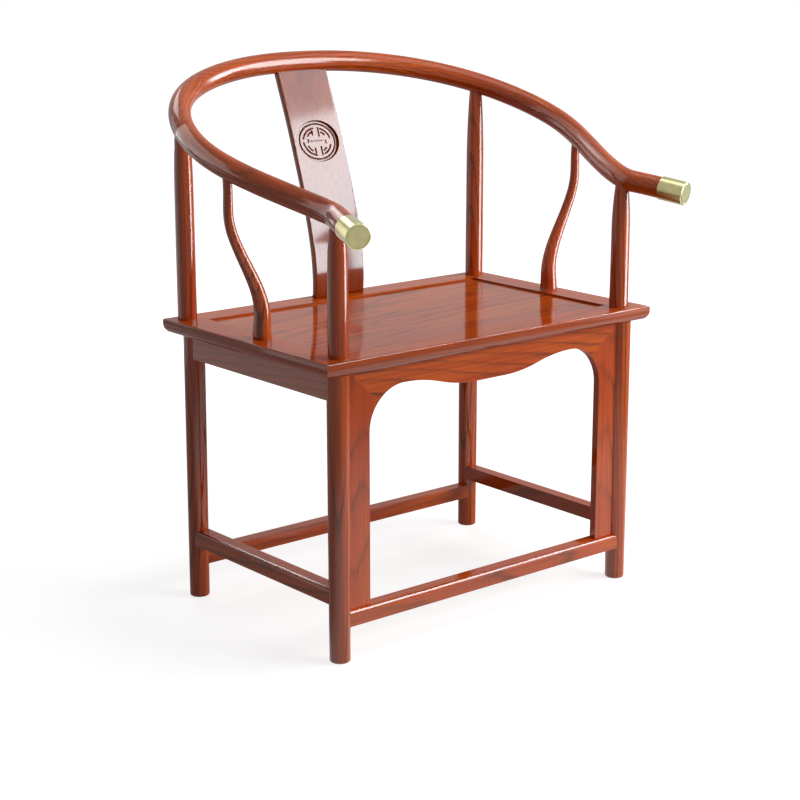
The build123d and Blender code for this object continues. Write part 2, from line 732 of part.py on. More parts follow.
# ---------------------------------------------------------------- battens
def batten(x):
    """A dovetailed cross batten that keeps the panel flat."""
    half = BATTEN_WIDTH / 2
    bar = block(
        (-half, half),
        (-inner_half_depth, inner_half_depth),
        (panel_bottom - BATTEN_DEPTH, panel_bottom),
    )
    profile = Polyline(
        (-DOVETAIL_NECK_WIDTH / 2, 0),
        (DOVETAIL_NECK_WIDTH / 2, 0),
        (DOVETAIL_TOP_WIDTH / 2, DOVETAIL_HEIGHT),
        (-DOVETAIL_TOP_WIDTH / 2, DOVETAIL_HEIGHT),
        close=True,
    )
    key_half = inner_half_depth - PANEL_GAP
    key = extrude(upright_plane(key_half, panel_bottom) * make_face(profile), amount=2 * key_half)
    tenons = block(
        (-BATTEN_TENON_WIDTH / 2, BATTEN_TENON_WIDTH / 2),
        (-inner_half_depth - BATTEN_TENON_LENGTH, inner_half_depth + BATTEN_TENON_LENGTH),
        (panel_bottom - BATTEN_TENON_THICK, panel_bottom),
    )
    return Pos(x, 0, 0) * (bar + tenons + key), Pos(x, 0, 0) * tenons, Pos(x, 0, 0) * key


panel = block(
    (-inner_half_width + PANEL_GAP, inner_half_width - PANEL_GAP),
    (-inner_half_depth + PANEL_GAP, inner_half_depth - PANEL_GAP),
    (panel_bottom, panel_top),
) + block(
    (-inner_half_width - TONGUE_LENGTH, inner_half_width + TONGUE_LENGTH),
    (-inner_half_depth - TONGUE_LENGTH, inner_half_depth + TONGUE_LENGTH),
    (tongue_top - TONGUE_THICK, tongue_top),
)
for side, sign in SIDES.items():
    piece, tenons, key = batten(sign * BATTEN_OFFSET)
    frame_mortises.append(tenons)
    panel = panel - key
    keep(piece, f"panel_batten_{side}")
keep(panel, "seat_panel")

long_tenons = mitre_tenons(-1) + mitre_tenons(1)
frame_places = {
    "front": (0, SEAT_WIDTH, half_depth),
    "back": (180, SEAT_WIDTH, half_depth),
    "right": (90, SEAT_DEPTH, half_width),
    "left": (-90, SEAT_DEPTH, half_width),
}
for name, (turn, length, reach) in frame_places.items():
    rail = Rot(0, 0, turn) * frame_rail(length, reach)
    if name == "front":
        rail = rail + mitre_tenon(-1, -1) + mitre_tenon(1, -1)
    elif name == "back":
        rail = rail + mitre_tenon(-1, 1) + mitre_tenon(1, 1)
    else:
        rail = less(rail, long_tenons)
    keep(less(rail, frame_mortises + [groove]), f"seat_rail_{name}")

# ---------------------------------------------------------------- all pieces
# The seat stands a little forward, so that the origin is under the whole chair:
# from the foremost point of the rounded rims of the caps to the back of the crest.
rim_centre = tip - tip_direction * CAP_EDGE_ROUND
rim_reach = (CAP_RADIUS - CAP_EDGE_ROUND) * math.sqrt(1 - tip_direction.Y**2)
chair_front = rim_centre.Y - rim_reach - CAP_EDGE_ROUND
chair_back = crest.Y + RAIL_RADIUS
to_origin = Pos(0, -(chair_front + chair_back) / 2, 0)
for name, shape in pieces.items():
    piece = to_origin * shape
    piece.label = name
    export_step(piece, f"parts/{name}.step")
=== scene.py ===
import math

import bpy
import numpy as np
from mathutils import Matrix, Vector
from mathutils.bvhtree import BVHTree


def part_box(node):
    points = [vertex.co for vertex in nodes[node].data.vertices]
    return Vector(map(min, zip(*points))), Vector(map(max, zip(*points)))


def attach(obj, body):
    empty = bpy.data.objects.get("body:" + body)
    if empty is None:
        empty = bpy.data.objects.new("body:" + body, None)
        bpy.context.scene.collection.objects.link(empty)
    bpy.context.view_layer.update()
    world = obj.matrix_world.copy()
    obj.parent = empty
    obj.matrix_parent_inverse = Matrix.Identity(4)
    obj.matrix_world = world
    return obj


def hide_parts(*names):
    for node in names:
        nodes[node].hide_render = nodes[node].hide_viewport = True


MM = 0.001

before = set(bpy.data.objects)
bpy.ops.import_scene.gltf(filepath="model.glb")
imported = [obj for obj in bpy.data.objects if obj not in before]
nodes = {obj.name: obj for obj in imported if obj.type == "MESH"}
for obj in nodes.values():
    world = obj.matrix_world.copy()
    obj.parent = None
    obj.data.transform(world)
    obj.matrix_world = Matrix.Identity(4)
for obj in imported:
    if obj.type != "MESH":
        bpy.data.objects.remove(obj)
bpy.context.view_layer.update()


# ------------------------------------------------------------------ colours
def srgb(red, green, blue):
    """Linear colour of a screen colour given as 0 to 255."""
    def linear(value):
        value = value / 255
        return value / 12.92 if value <= 0.04045 else ((value + 0.055) / 1.055) ** 2.4
    return (linear(red), linear(green), linear(blue), 1.0)


WOOD_LIGHT = srgb(206, 90, 22)
WOOD_BODY = srgb(186, 70, 14)
WOOD_DEEP = srgb(150, 48, 8)
WOOD_LINE = srgb(84, 46, 16)
WOOD_PORE = srgb(70, 32, 18)
BRASS_COLOUR = srgb(174, 167, 124)
BRASS_DULL = srgb(164, 157, 113)


# ------------------------------------------------------------------ node helpers
class Tree:
    """Short calls that add and join the nodes of one material."""

    def __init__(self, name):
        self.material = bpy.data.materials.new(name)
        self.material.use_nodes = True
        self.nodes = self.material.node_tree.nodes
        self.links = self.material.node_tree.links
        self.nodes.clear()
        self.output = self.nodes.new("ShaderNodeOutputMaterial")

    def put(self, socket, value):
        if isinstance(value, bpy.types.NodeSocket):
            self.links.new(value, socket)
        elif value is not None:
            socket.default_value = value

    def math(self, operation, a, b=None, c=None, clamp=False):
        node = self.nodes.new("ShaderNodeMath")
        node.operation = operation
        node.use_clamp = clamp
        for socket, value in zip(node.inputs, (a, b, c)):
            self.put(socket, value)
        return node.outputs[0]

    def vector(self, operation, a, b=None):
        node = self.nodes.new("ShaderNodeVectorMath")
        node.operation = operation
        self.put(node.inputs[0], a)
        self.put(node.inputs[1], b)
        return node.outputs[0]

    def noise(self, where, scale=1.0, detail=2.0, roughness=0.5):
        node = self.nodes.new("ShaderNodeTexNoise")
        node.noise_dimensions = "3D"
        self.put(node.inputs["Vector"], where)
        node.inputs["Scale"].default_value = scale
        node.inputs["Detail"].default_value = detail
        node.inputs["Roughness"].default_value = roughness
        return node.outputs["Fac"]

    def ramp(self, factor, stops, smooth=False):
        node = self.nodes.new("ShaderNodeValToRGB")
        node.color_ramp.interpolation = "EASE" if smooth else "LINEAR"
        elements = node.color_ramp.elements
        elements[0].position, elements[0].color = stops[0]
        elements[1].position, elements[1].color = stops[-1]
        for position, colour in stops[1:-1]:
            elements.new(position).color = colour
        self.put(node.inputs[0], factor)
        return node.outputs[0]

    def mix(self, factor, a, b, blend="MIX"):
        node = self.nodes.new("ShaderNodeMix")
        node.data_type = "RGBA"
        node.blend_type = blend
        self.put(node.inputs[0], factor)
        self.put(node.inputs[6], a)
        self.put(node.inputs[7], b)
        return node.outputs[2]

    def span(self, value, low, high, to_low=0.0, to_high=1.0):
        node = self.nodes.new("ShaderNodeMapRange")
        node.clamp = True
        node.interpolation_type = "SMOOTHSTEP"
        self.put(node.inputs["Value"], value)
        node.inputs["From Min"].default_value = low
        node.inputs["From Max"].default_value = high
        node.inputs["To Min"].default_value = to_low
        node.inputs["To Max"].default_value = to_high
        return node.outputs[0]


def grey(value):
    return (value, value, value, 1.0)


# ------------------------------------------------------------------ lacquered wood
# Stretch of each noise across the grain, out of the face and along the grain, per metre.
SLOW_WANDER = (7.0, 7.0, 1.6)
RIPPLE = (34.0, 34.0, 5.0)
UNEVEN_RINGS = (16.0, 16.0, 1.0)
LINE_STRENGTH = (22.0, 22.0, 2.0)
FIBRES = (1100.0, 1100.0, 14.0)
STREAKS = (210.0, 210.0, 3.5)
CLOUDS = (12.0, 12.0, 2.6)
PORES = (1500.0, 1500.0, 70.0)

RIPPLE_DEPTH = 0.010
RINGS_SHIFTED = 1.6
STREAK_MIX = 0.40
FIBRE_MIX = 0.22
PORE_MIX = 0.5
BUMP_STRENGTH = 0.12
BUMP_HEIGHT = 0.0002
LACQUER_IOR = 1.5
# Darkness over one growth ring: the last one's dark line fades, and the next builds up.
RING_STOPS = (
    (0.0, 0.45), (0.07, 0.0), (0.50, 0.04), (0.76, 0.30), (0.90, 1.0), (0.95, 0.9), (1.0, 0.45),
)


def grain_matrix(direction, face):
    """Turns row axes so that local Z runs along the grain, Y out of the face."""
    along = Vector(direction).normalized()
    out = Vector(face)
    out = (out - along * out.dot(along)).normalized()
    across = out.cross(along)
    return Matrix((across, out, along))


def wood(name, direction, face, seed, pith=(0.03, 0.09), tilt=0.03, ring=0.0075,
         figure=0.82, wander=0.085, tone=1.0, coat=0.5, coat_roughness=0.04, fine=1.0):
    """Glossy lacquered hardwood: growth rings cut by the surface, fibres and pores.

    Pith is how far the tree's middle lies across and behind the face, tilt how fast the
    rings run out of it, ring the width of one ring, figure the darkness of the ring lines,
    wander how far they stray, tone a factor on the colour, and fine the share of the
    fibres, pores and bump that shows."""
    t = Tree(name)
    place = t.nodes.new("ShaderNodeTexCoord").outputs["Object"]
    turn = t.nodes.new("ShaderNodeMapping")
    turn.inputs["Rotation"].default_value = grain_matrix(direction, face).to_euler()
    t.put(turn.inputs["Vector"], place)
    local = turn.outputs[0]
    moved = t.vector("ADD", local, (seed * 1.37, seed * 2.11, seed * 0.73))

    # Long, slow wandering of the fibres, so that no ring line is straight.
    slow = t.noise(t.vector("MULTIPLY", moved, SLOW_WANDER), detail=1.0)
    medium = t.noise(t.vector("MULTIPLY", moved, RIPPLE), detail=2.0)
    split = t.nodes.new("ShaderNodeSeparateXYZ")
    t.put(split.inputs[0], local)
    across, out, along = split.outputs
    bend = t.math("MULTIPLY", t.math("SUBTRACT", slow, 0.5), wander)
    ripple = t.math("MULTIPLY", t.math("SUBTRACT", medium, 0.5), RIPPLE_DEPTH)
    x = t.math("ADD", t.math("SUBTRACT", across, pith[0]), bend)
    lean = t.math("MULTIPLY", along, tilt)
    y = t.math("ADD", t.math("ADD", out, pith[1]), t.math("ADD", lean, ripple))
    radius = t.math("SQRT", t.math("ADD", t.math("MULTIPLY", x, x), t.math("MULTIPLY", y, y)))
    turns = t.math("DIVIDE", radius, ring)
    uneven = t.noise(t.vector("MULTIPLY", moved, UNEVEN_RINGS), detail=1.0)
    turns = t.math("ADD", turns, t.math("MULTIPLY", uneven, RINGS_SHIFTED))
    phase = t.math("FRACT", turns)

    band = t.ramp(phase, [(position, grey(level)) for position, level in RING_STOPS])
    strength = t.noise(t.vector("MULTIPLY", moved, LINE_STRENGTH), detail=2.0)
    strength = t.span(strength, 0.36, 0.66, 0.40, 1.0)
    dark_line = t.math("MULTIPLY", band, strength)

    fibre = t.noise(t.vector("MULTIPLY", moved, FIBRES), detail=2.0)
    streak = t.noise(t.vector("MULTIPLY", moved, STREAKS), detail=2.0)
    cloud = t.noise(t.vector("MULTIPLY", moved, CLOUDS), detail=2.0)

    body = t.mix(t.span(cloud, 0.3, 0.7), WOOD_BODY, WOOD_LIGHT)
    body = t.mix(t.math("MULTIPLY", t.span(streak, 0.35, 0.7), STREAK_MIX), body, WOOD_DEEP)
    body = t.mix(t.math("MULTIPLY", dark_line, figure), body, WOOD_LINE)
    fibre_mix = t.math("MULTIPLY", t.span(fibre, 0.45, 0.75), FIBRE_MIX * fine)
    body = t.mix(fibre_mix, body, WOOD_LINE)
    pores = t.noise(t.vector("MULTIPLY", moved, PORES), detail=0.0)
    pore = t.math("MULTIPLY", t.span(pores, 0.66, 0.74), t.span(dark_line, 0.0, 0.7, 0.25, 0.9))
    body = t.mix(t.math("MULTIPLY", pore, PORE_MIX * fine), body, WOOD_PORE)
    if tone != 1.0:
        body = t.mix(1.0, body, grey(tone), "MULTIPLY")

    bump = t.nodes.new("ShaderNodeBump")
    bump.inputs["Strength"].default_value = BUMP_STRENGTH * fine
    bump.inputs["Distance"].default_value = BUMP_HEIGHT
    t.put(bump.inputs["Height"], t.math("SUBTRACT", fibre, pore))

    shader = t.nodes.new("ShaderNodeBsdfPrincipled")
    t.put(shader.inputs["Base Color"], body)
    t.put(shader.inputs["Roughness"], t.span(fibre, 0.2, 0.8, 0.34, 0.48))
    t.put(shader.inputs["Normal"], bump.outputs[0])
    shader.inputs["Specular IOR Level"].default_value = 0.0
    shader.inputs["Coat Weight"].default_value = coat
    shader.inputs["Coat Roughness"].default_value = coat_roughness
    shader.inputs["Coat IOR"].default_value = LACQUER_IOR
    t.links.new(shader.outputs[0], t.output.inputs[0])
    return t.material


# ------------------------------------------------------------------ brass
BRASS_PATCHES = (60.0, 60.0, 60.0)
BRASS_MARKS = (900.0, 900.0, 900.0)


def brass(name):
    """Polished pale brass, slightly uneven in colour and gloss."""
    t = Tree(name)
    place = t.nodes.new("ShaderNodeTexCoord").outputs["Object"]
    patch = t.noise(t.vector("MULTIPLY", place, BRASS_PATCHES), detail=3.0)
    fine = t.noise(t.vector("MULTIPLY", place, BRASS_MARKS), detail=2.0)
    colour = t.mix(t.span(patch, 0.3, 0.7), BRASS_COLOUR, BRASS_DULL)
    shader = t.nodes.new("ShaderNodeBsdfPrincipled")
    t.put(shader.inputs["Base Color"], colour)
    shader.inputs["Metallic"].default_value = 1.0
    t.put(shader.inputs["Roughness"], t.span(fine, 0.2, 0.8, 0.19, 0.24))
    t.links.new(shader.outputs[0], t.output.inputs[0])
    return t.material


# ------------------------------------------------------------------ dress the frame
ALONG_X = (1, 0, 0)
ALONG_Y = (0, 1, 0)
ALONG_Z = (0, 0, 1)
FRONT = (0, -1, 0)
BACK = (0, 1, 0)
LEFT = (-1, 0, 0)
RIGHT = (1, 0, 0)
UP = (0, 0, 1)
DOWN = (0, 0, -1)
# Share of an arm's width that its grain crosses: the arm comes in and turns out again.
ARM_ACROSS = 0.3


def box_diagonal(name, share):
    """Line from a rail piece's back top corner towards its front low one.

    Share is how much of the piece's width the line crosses; its sign gives the side."""
    low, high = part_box(name)
    across = (high.x - low.x) * share
    return Vector((across, low.y - high.y, low.z - high.z))


def paint(name, material):
    obj = nodes[name]
    obj.data.materials.clear()
    obj.data.materials.append(material)


WELD_WITHIN = 0.02 * MM
ARRIS_SEGMENTS = 3
ARRIS_FROM_ANGLE = math.radians(38)
SEAT_ARRIS = 0.7 * MM
APRON_ARRIS = 0.3 * MM


def soften(obj, width):
    """Small rounded arrises, as sanding and lacquer leave them."""
    weld = obj.modifiers.new("weld", "WELD")
    weld.merge_threshold = WELD_WITHIN
    bevel = obj.modifiers.new("arris", "BEVEL")
    bevel.width = width
    bevel.segments = ARRIS_SEGMENTS
    bevel.limit_method = "ANGLE"
    bevel.angle_limit = ARRIS_FROM_ANGLE
    bevel.harden_normals = False
    bevel.use_clamp_overlap = True


GRAIN = {
    "crest_rail": (ALONG_X, FRONT),
    "shoulder_rail_left": (box_diagonal("shoulder_rail_left", -1), UP),
    "shoulder_rail_right": (box_diagonal("shoulder_rail_right", 1), UP),
    "arm_rail_left": (box_diagonal("arm_rail_left", ARM_ACROSS), UP),
    "arm_rail_right": (box_diagonal("arm_rail_right", -ARM_ACROSS), UP),
    "seat_rail_front": (ALONG_X, UP),
    "seat_rail_back": (ALONG_X, UP),
    "seat_rail_left": (ALONG_Y, UP),
    "seat_rail_right": (ALONG_Y, UP),
    "seat_panel": (ALONG_X, UP),
    "apron_front": (ALONG_X, FRONT),
    "apron_back": (ALONG_X, BACK),
    "apron_left": (ALONG_Y, LEFT),
    "apron_right": (ALONG_Y, RIGHT),
    "stretcher_front": (ALONG_X, FRONT),
    "stretcher_back": (ALONG_X, FRONT),
    "stretcher_left": (ALONG_Y, LEFT),
    "stretcher_right": (ALONG_Y, RIGHT),
    "panel_batten_left": (ALONG_Y, DOWN),
    "panel_batten_right": (ALONG_Y, DOWN),
}
BOARD_MIDDLE = sum(corner.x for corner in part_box("apron_front_board_right")) / 2
SIDE_BOARD = dict(ring=0.0075, tilt=0.08, wander=0.04, figure=0.55)
SEAT_RAIL = dict(pith=(0.05, 0.10), ring=0.007, figure=0.6, coat=0.45, coat_roughness=0.06)
TOP_RAIL = dict(fine=0.3, figure=0.62, tone=0.92)
# How each kind of piece was sawn and polished; the first word found in a name counts.
CUTS = {
    "board_left": dict(SIDE_BOARD, pith=(BOARD_MIDDLE, 0.05)),
    "board_right": dict(SIDE_BOARD, pith=(-BOARD_MIDDLE, 0.05)),
    "stretcher": dict(figure=0.6, coat_roughness=0.07),
    "seat_panel": dict(
        wander=0.05, pith=(0.12, 0.14), ring=0.0062, tilt=0.03, figure=0.85, tone=0.8,
        coat_roughness=0.10,
    ),
    "apron": dict(pith=(0.004, 0.045), ring=0.0095, tilt=0.085, figure=0.85),
    # The front seat rail's lower tone is painted shade, darkening the face that the key lamp lights
    # most.
    "seat_rail_front": dict(SEAT_RAIL, tone=0.76),
    "seat_rail": dict(SEAT_RAIL, tone=0.88),
    "crest_rail": dict(TOP_RAIL, coat=0.52, coat_roughness=0.17),
    "_rail": dict(TOP_RAIL, coat_roughness=0.13),
    "side_post": dict(coat_roughness=0.11),
    "post": dict(coat_roughness=0.08),
}
SEED_STEP = 0.61
brass_material = brass("polished_brass")
for index, name in enumerate(sorted(nodes)):
    if name.startswith("brass_cap"):
        paint(name, brass_material)
        continue
    direction, face = GRAIN.get(name, (ALONG_Z, FRONT))
    cut = next((value for word, value in CUTS.items() if word in name), {})
    material = wood("wood_" + name, direction, face, seed=index * SEED_STEP, **cut)
    paint(name, material)

for name in sorted(nodes):
    if name.startswith(("seat_rail", "seat_panel")):
        soften(nodes[name], SEAT_ARRIS)
    elif name.startswith("apron"):
        soften(nodes[name], APRON_ARRIS)


# ------------------------------------------------------------------ carved splat
SPLAT = "back_splat"
SPLAT_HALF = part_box(SPLAT)[1].x
SPLAT_TOP_SEEN = 812 * MM
SPLAT_TOP = 838 * MM
SPLAT_FOOT = 461.8 * MM
SPLAT_PROBE_ASIDE = 20 * MM
SPLAT_PROBE_HEIGHT = 480 * MM
SPLAT_PROBES = 60
SPLAT_CURVE_DEGREE = 7
ROWS_BELOW = 40
ROWS_ABOVE = 24
COLUMNS_BESIDE = 4
ARRIS = 1.4 * MM
ROUNDEL_HEIGHT = 715 * MM
ROUNDEL_RADIUS = 38.5 * MM
ROUNDEL_WIDER = 1.09
ROUNDEL_LOWER = 0.905
ROUNDEL_SINK = 4.2 * MM
ROUNDEL_WALL = 1.0 * MM
CARVE_PITCH = 0.45 * MM
CARVE_REACH = 43.2 * MM
RING_RADIUS = 33 * MM
RING_HALF = 1.5 * MM
STROKE_HALF = 1.6 * MM
STROKE_DEPTH = 1.7 * MM
SHADED_SLOPE = 0.55
OUTER_ARC = 25.5 * MM
INNER_ARC = 19.6 * MM
BAR_HALF_LENGTH = 11 * MM
BAR_HALF_WIDTH = 2.4 * MM
BAR_RISE = 0.35 * MM
HOLLOW_RADIUS = 13 * MM
HOLLOW_DEPTH = 0.25 * MM
# Carved arcs: radius, first and last angle in degrees.
ARCS = (
    (OUTER_ARC, 98, 163), (OUTER_ARC, 182, 257), (OUTER_ARC, 12, 66), (OUTER_ARC, -66, -20),
    (INNER_ARC, 108, 143), (INNER_ARC, 204, 234), (INNER_ARC, 38, 58), (INNER_ARC, -58, -42),
)
# Carved strokes: start and end in millimetres from the roundel's middle.
STROKES = (
    ((6.0, 25.0), (6.0, 10.0)), ((5.6, -10.5), (5.6, -25.5)),
    ((-6.2, 20.5), (-6.2, 13.0)), ((-6.2, -12.5), (-6.2, -20.5)),
    ((-16.6, 4.5), (-16.6, 0.5)), ((16.3, 0.5), (16.3, -4.0)),
)


def ease(value):
    """Smooth step from 0 to 1."""
    value = np.clip(value, 0.0, 1.0)
    return value * value * (3 - 2 * value)


def groove(distance, half_width, depth):
    """A rounded groove, deepest on its line and gone at its half width."""
    return depth * ease(1 - distance / half_width)


def line_distance(u, v, start, end):
    """Distance to a straight stroke."""
    du, dv = end[0] - start[0], end[1] - start[1]
    along = np.clip(((u - start[0]) * du + (v - start[1]) * dv) / (du * du + dv * dv), 0, 1)
    return np.hypot(u - start[0] - along * du, v - start[1] - along * dv)


def arc_distance(u, v, radius, first, last):
    """Distance to an arc about the roundel's middle, angles in degrees."""
    middle = math.radians((first + last) / 2)
    half = math.radians(abs(last - first) / 2)
    angle = np.arctan2(v, u) - middle
    angle = (angle + math.pi) % (2 * math.pi) - math.pi
    angle = np.clip(angle, -half, half) + middle
    return np.hypot(u - radius * np.cos(angle), v - radius * np.sin(angle))


def roundel_depth(u, v):
    """How far the carving lies below the splat's face, in metres."""
    u, v = u / ROUNDEL_WIDER, v / ROUNDEL_LOWER
    r = np.hypot(u, v)
    depth = ROUNDEL_SINK * ease((ROUNDEL_RADIUS - r) / ROUNDEL_WALL)
    depth = depth + groove(abs(r - RING_RADIUS), RING_HALF, STROKE_DEPTH)
    cut = np.zeros_like(r)
    for radius, first, last in ARCS:
        away = arc_distance(u, v, radius, first, last)
        cut = np.maximum(cut, groove(away, STROKE_HALF, 1.0))
    for start, end in STROKES:
        start = (start[0] * MM, start[1] * MM)
        end = (end[0] * MM, end[1] * MM)
        away = line_distance(u, v, start, end)
        cut = np.maximum(cut, groove(away, STROKE_HALF, 1.0))
    depth = depth + STROKE_DEPTH * cut
    bar = line_distance(u, v, (-BAR_HALF_LENGTH, 0.0), (BAR_HALF_LENGTH, 0.0))
    hollow = HOLLOW_DEPTH * ease(1 - r / HOLLOW_RADIUS)
    return depth + hollow - BAR_RISE * ease(1 - bar / BAR_HALF_WIDTH)


def splat_hit(tree, height, side):
    """Depth at which a level line from the front (-1) or the back (1) meets the CAD splat."""
    start = Vector((SPLAT_PROBE_ASIDE, float(side), height))
    return tree.ray_cast(start, Vector((0, -side, 0)))[0].y


def splat_profile(tree):
    """Front face of the CAD splat in side view: heights and the depth at each."""
    heights = np.linspace(SPLAT_FOOT + 1 * MM, SPLAT_TOP_SEEN, SPLAT_PROBES)
    return heights, np.array([splat_hit(tree, height, -1) for height in heights])


def splat_thickness(tree):
    return splat_hit(tree, SPLAT_PROBE_HEIGHT, 1) - splat_hit(tree, SPLAT_PROBE_HEIGHT, -1)


def build_splat():
    """The splat as one closed mesh, with the roundel carved into its front face."""
    tree = BVHTree.FromObject(nodes[SPLAT], bpy.context.evaluated_depsgraph_get())
    heights, depths = splat_profile(tree)
    curve = np.polyfit(heights - ROUNDEL_HEIGHT, depths, SPLAT_CURVE_DEGREE)
    slope = np.polyder(curve)
    dense = np.arange(-CARVE_REACH, CARVE_REACH + CARVE_PITCH / 2, CARVE_PITCH)
    below = np.linspace(SPLAT_FOOT - ROUNDEL_HEIGHT, -CARVE_REACH, ROWS_BELOW)[:-1]
    above = np.linspace(CARVE_REACH, SPLAT_TOP - ROUNDEL_HEIGHT, ROWS_ABOVE)[1:]
    rows = np.concatenate((below, dense, above))
    edge = SPLAT_HALF - ARRIS
    outside = np.linspace(CARVE_REACH, edge, COLUMNS_BESIDE)[1:]
    columns = np.concatenate((-outside[::-1], dense, outside))
    fit_top = SPLAT_TOP_SEEN - ROUNDEL_HEIGHT

    def face(rise):
        """Depth and normal of the front face, run on straight above the highest part seen."""
        rise_in = np.minimum(rise, fit_top)
        y = np.polyval(curve, rise_in) + np.polyval(slope, rise_in) * (rise - rise_in)
        lean = np.polyval(slope, rise_in)
        size = np.hypot(1, lean)
        return y, -1 / size, lean / size

    thick = splat_thickness(tree)
    verts = []
    faces = []
    shaded = []
    carved = []
    front_count = len(columns)
    # Section points after the front face: arris, side, arris, back, and so on.
    turn_out = [
        (edge + ARRIS * 0.7, ARRIS * 0.3),
        (SPLAT_HALF, ARRIS),
        (SPLAT_HALF, thick - ARRIS),
        (edge + ARRIS * 0.7, thick - ARRIS * 0.3),
        (edge, thick),
    ]
    loop = turn_out + [(-x, d) for x, d in reversed(turn_out)]
    ring_count = front_count + len(loop)
    # The splat leans at the roundel, so a rise is a little more along the face.
    lean_factor = math.sqrt(1 + float(np.polyval(slope, 0.0)) ** 2)
    for rise in rows:
        y, ny, nz = face(np.array(rise))
        arc = rise * lean_factor
        carve = roundel_depth(columns, np.full_like(columns, arc))
        carved.append(carve)
        for x, depth in list(zip(columns, carve)) + loop:
            height = ROUNDEL_HEIGHT + rise - float(nz) * depth
            verts.append((x, float(y - ny * depth), height))
    for row in range(len(rows) - 1):
        start = row * ring_count
        for column in range(ring_count):
            following = (column + 1) % ring_count
            faces.append((start + column, start + following,
                          start + ring_count + following, start + ring_count + column))
            # Steep faces of the carving take the second material, whose darkness is partly painted
            # shade.
            steep = False
            if following < front_count and column < front_count:
                corners = [carved[row + up][side] for up in (0, 1) for side in (column, following)]
                steep = (max(corners) - min(corners)) > SHADED_SLOPE * CARVE_PITCH
            shaded.append(1 if steep else 0)
    faces.append(tuple(reversed(range(ring_count))))
    last = (len(rows) - 1) * ring_count
    faces.append(tuple(range(last, last + ring_count)))
    mesh = bpy.data.meshes.new("splat_carved")
    mesh.from_pydata(verts, [], faces)
    for polygon, index in zip(mesh.polygons, shaded):
        polygon.material_index = index
    mesh.validate()
    mesh.shade_smooth()
    obj = bpy.data.objects.new("splat_carved", mesh)
    bpy.context.scene.collection.objects.link(obj)
    return obj


splat = build_splat()
SPLAT_CUT = dict(seed=7.7, pith=(0.21, 0.16), figure=0.4)
carved_face = wood(
    "wood_carved_splat", ALONG_Z, FRONT, tone=0.52, coat=0.52, coat_roughness=0.11, fine=0.4,
    **SPLAT_CUT,
)
# The steep walls of the cuts are darker, partly wax in the cuts and partly painted shade, and less
# glossy.
cut_walls_wax_and_painted_shade = wood(
    "wood_carved_cuts", ALONG_Z, FRONT, tone=0.26, coat=0.2, coat_roughness=0.3, **SPLAT_CUT
)
splat.data.materials.append(carved_face)
splat.data.materials.append(cut_walls_wax_and_painted_shade)
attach(splat, "root")
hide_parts(SPLAT)


# ------------------------------------------------------------------ floor and backdrop
FLOOR_HALF = 12.0
FLOOR_DROP = -0.0002
FLOOR_ALBEDO = 0.42
# The floor's glow at the chair and away from it, so that the shadow fades into pure white.
GLOW_NEAR, GLOW_FAR = 0.75, 1.0
# Extra glow that only reflections see, on the floor in front of the chair.
SHEEN_BEARING = (0.09, -0.996, 0.0)
SHEEN_LEVEL = 1.8
AMBIENT = 0.16


def pale_floor():
    """A white floor that keeps the chair's shadow and looks white to the camera."""
    t = Tree("pale_floor")
    diffuse = t.nodes.new("ShaderNodeBsdfDiffuse")
    spot = t.nodes.new("ShaderNodeTexCoord").outputs["Object"]
    far = t.nodes.new("ShaderNodeVectorMath")
    far.operation = "LENGTH"
    t.put(far.inputs[0], spot)
    level = t.span(far.outputs[1], 0.7, 2.4, GLOW_NEAR, GLOW_FAR)
    forward = t.nodes.new("ShaderNodeVectorMath")
    forward.operation = "DOT_PRODUCT"
    t.put(forward.inputs[0], spot)
    t.put(forward.inputs[1], SHEEN_BEARING)
    ahead = t.span(t.math("DIVIDE", forward.outputs[1], far.outputs[1]), 0.0, 0.5)
    near = t.span(far.outputs[1], 0.85, 1.6, SHEEN_LEVEL, 0.0)
    glow = t.nodes.new("ShaderNodeEmission")
    glow.inputs["Color"].default_value = grey(1.0)
    path = t.nodes.new("ShaderNodeLightPath")
    seen = t.math("MAXIMUM", path.outputs["Is Camera Ray"], path.outputs["Is Glossy Ray"])
    seen = t.math("MAXIMUM", seen, path.outputs["Is Transmission Ray"])
    sheen = t.math("MULTIPLY", t.math("MULTIPLY", near, ahead), path.outputs["Is Glossy Ray"])
    t.put(glow.inputs["Strength"], t.math("ADD", t.math("MULTIPLY", seen, level), sheen))
    lit = t.math("SUBTRACT", 1.0, path.outputs["Is Glossy Ray"])
    t.put(diffuse.inputs["Color"], t.math("MULTIPLY", lit, FLOOR_ALBEDO))
    both = t.nodes.new("ShaderNodeAddShader")
    t.links.new(diffuse.outputs[0], both.inputs[0])
    t.links.new(glow.outputs[0], both.inputs[1])
    t.links.new(both.outputs[0], t.output.inputs[0])
    return t.material


floor_mesh = bpy.data.meshes.new("floor")
floor_corners = [
    (FLOOR_HALF * x, FLOOR_HALF * y, FLOOR_DROP) for x, y in ((-1, -1), (1, -1), (1, 1), (-1, 1))
]
floor_mesh.from_pydata(floor_corners, [], [(0, 1, 2, 3)])
floor = bpy.data.objects.new("floor", floor_mesh)
bpy.context.scene.collection.objects.link(floor)
floor.data.materials.append(pale_floor())

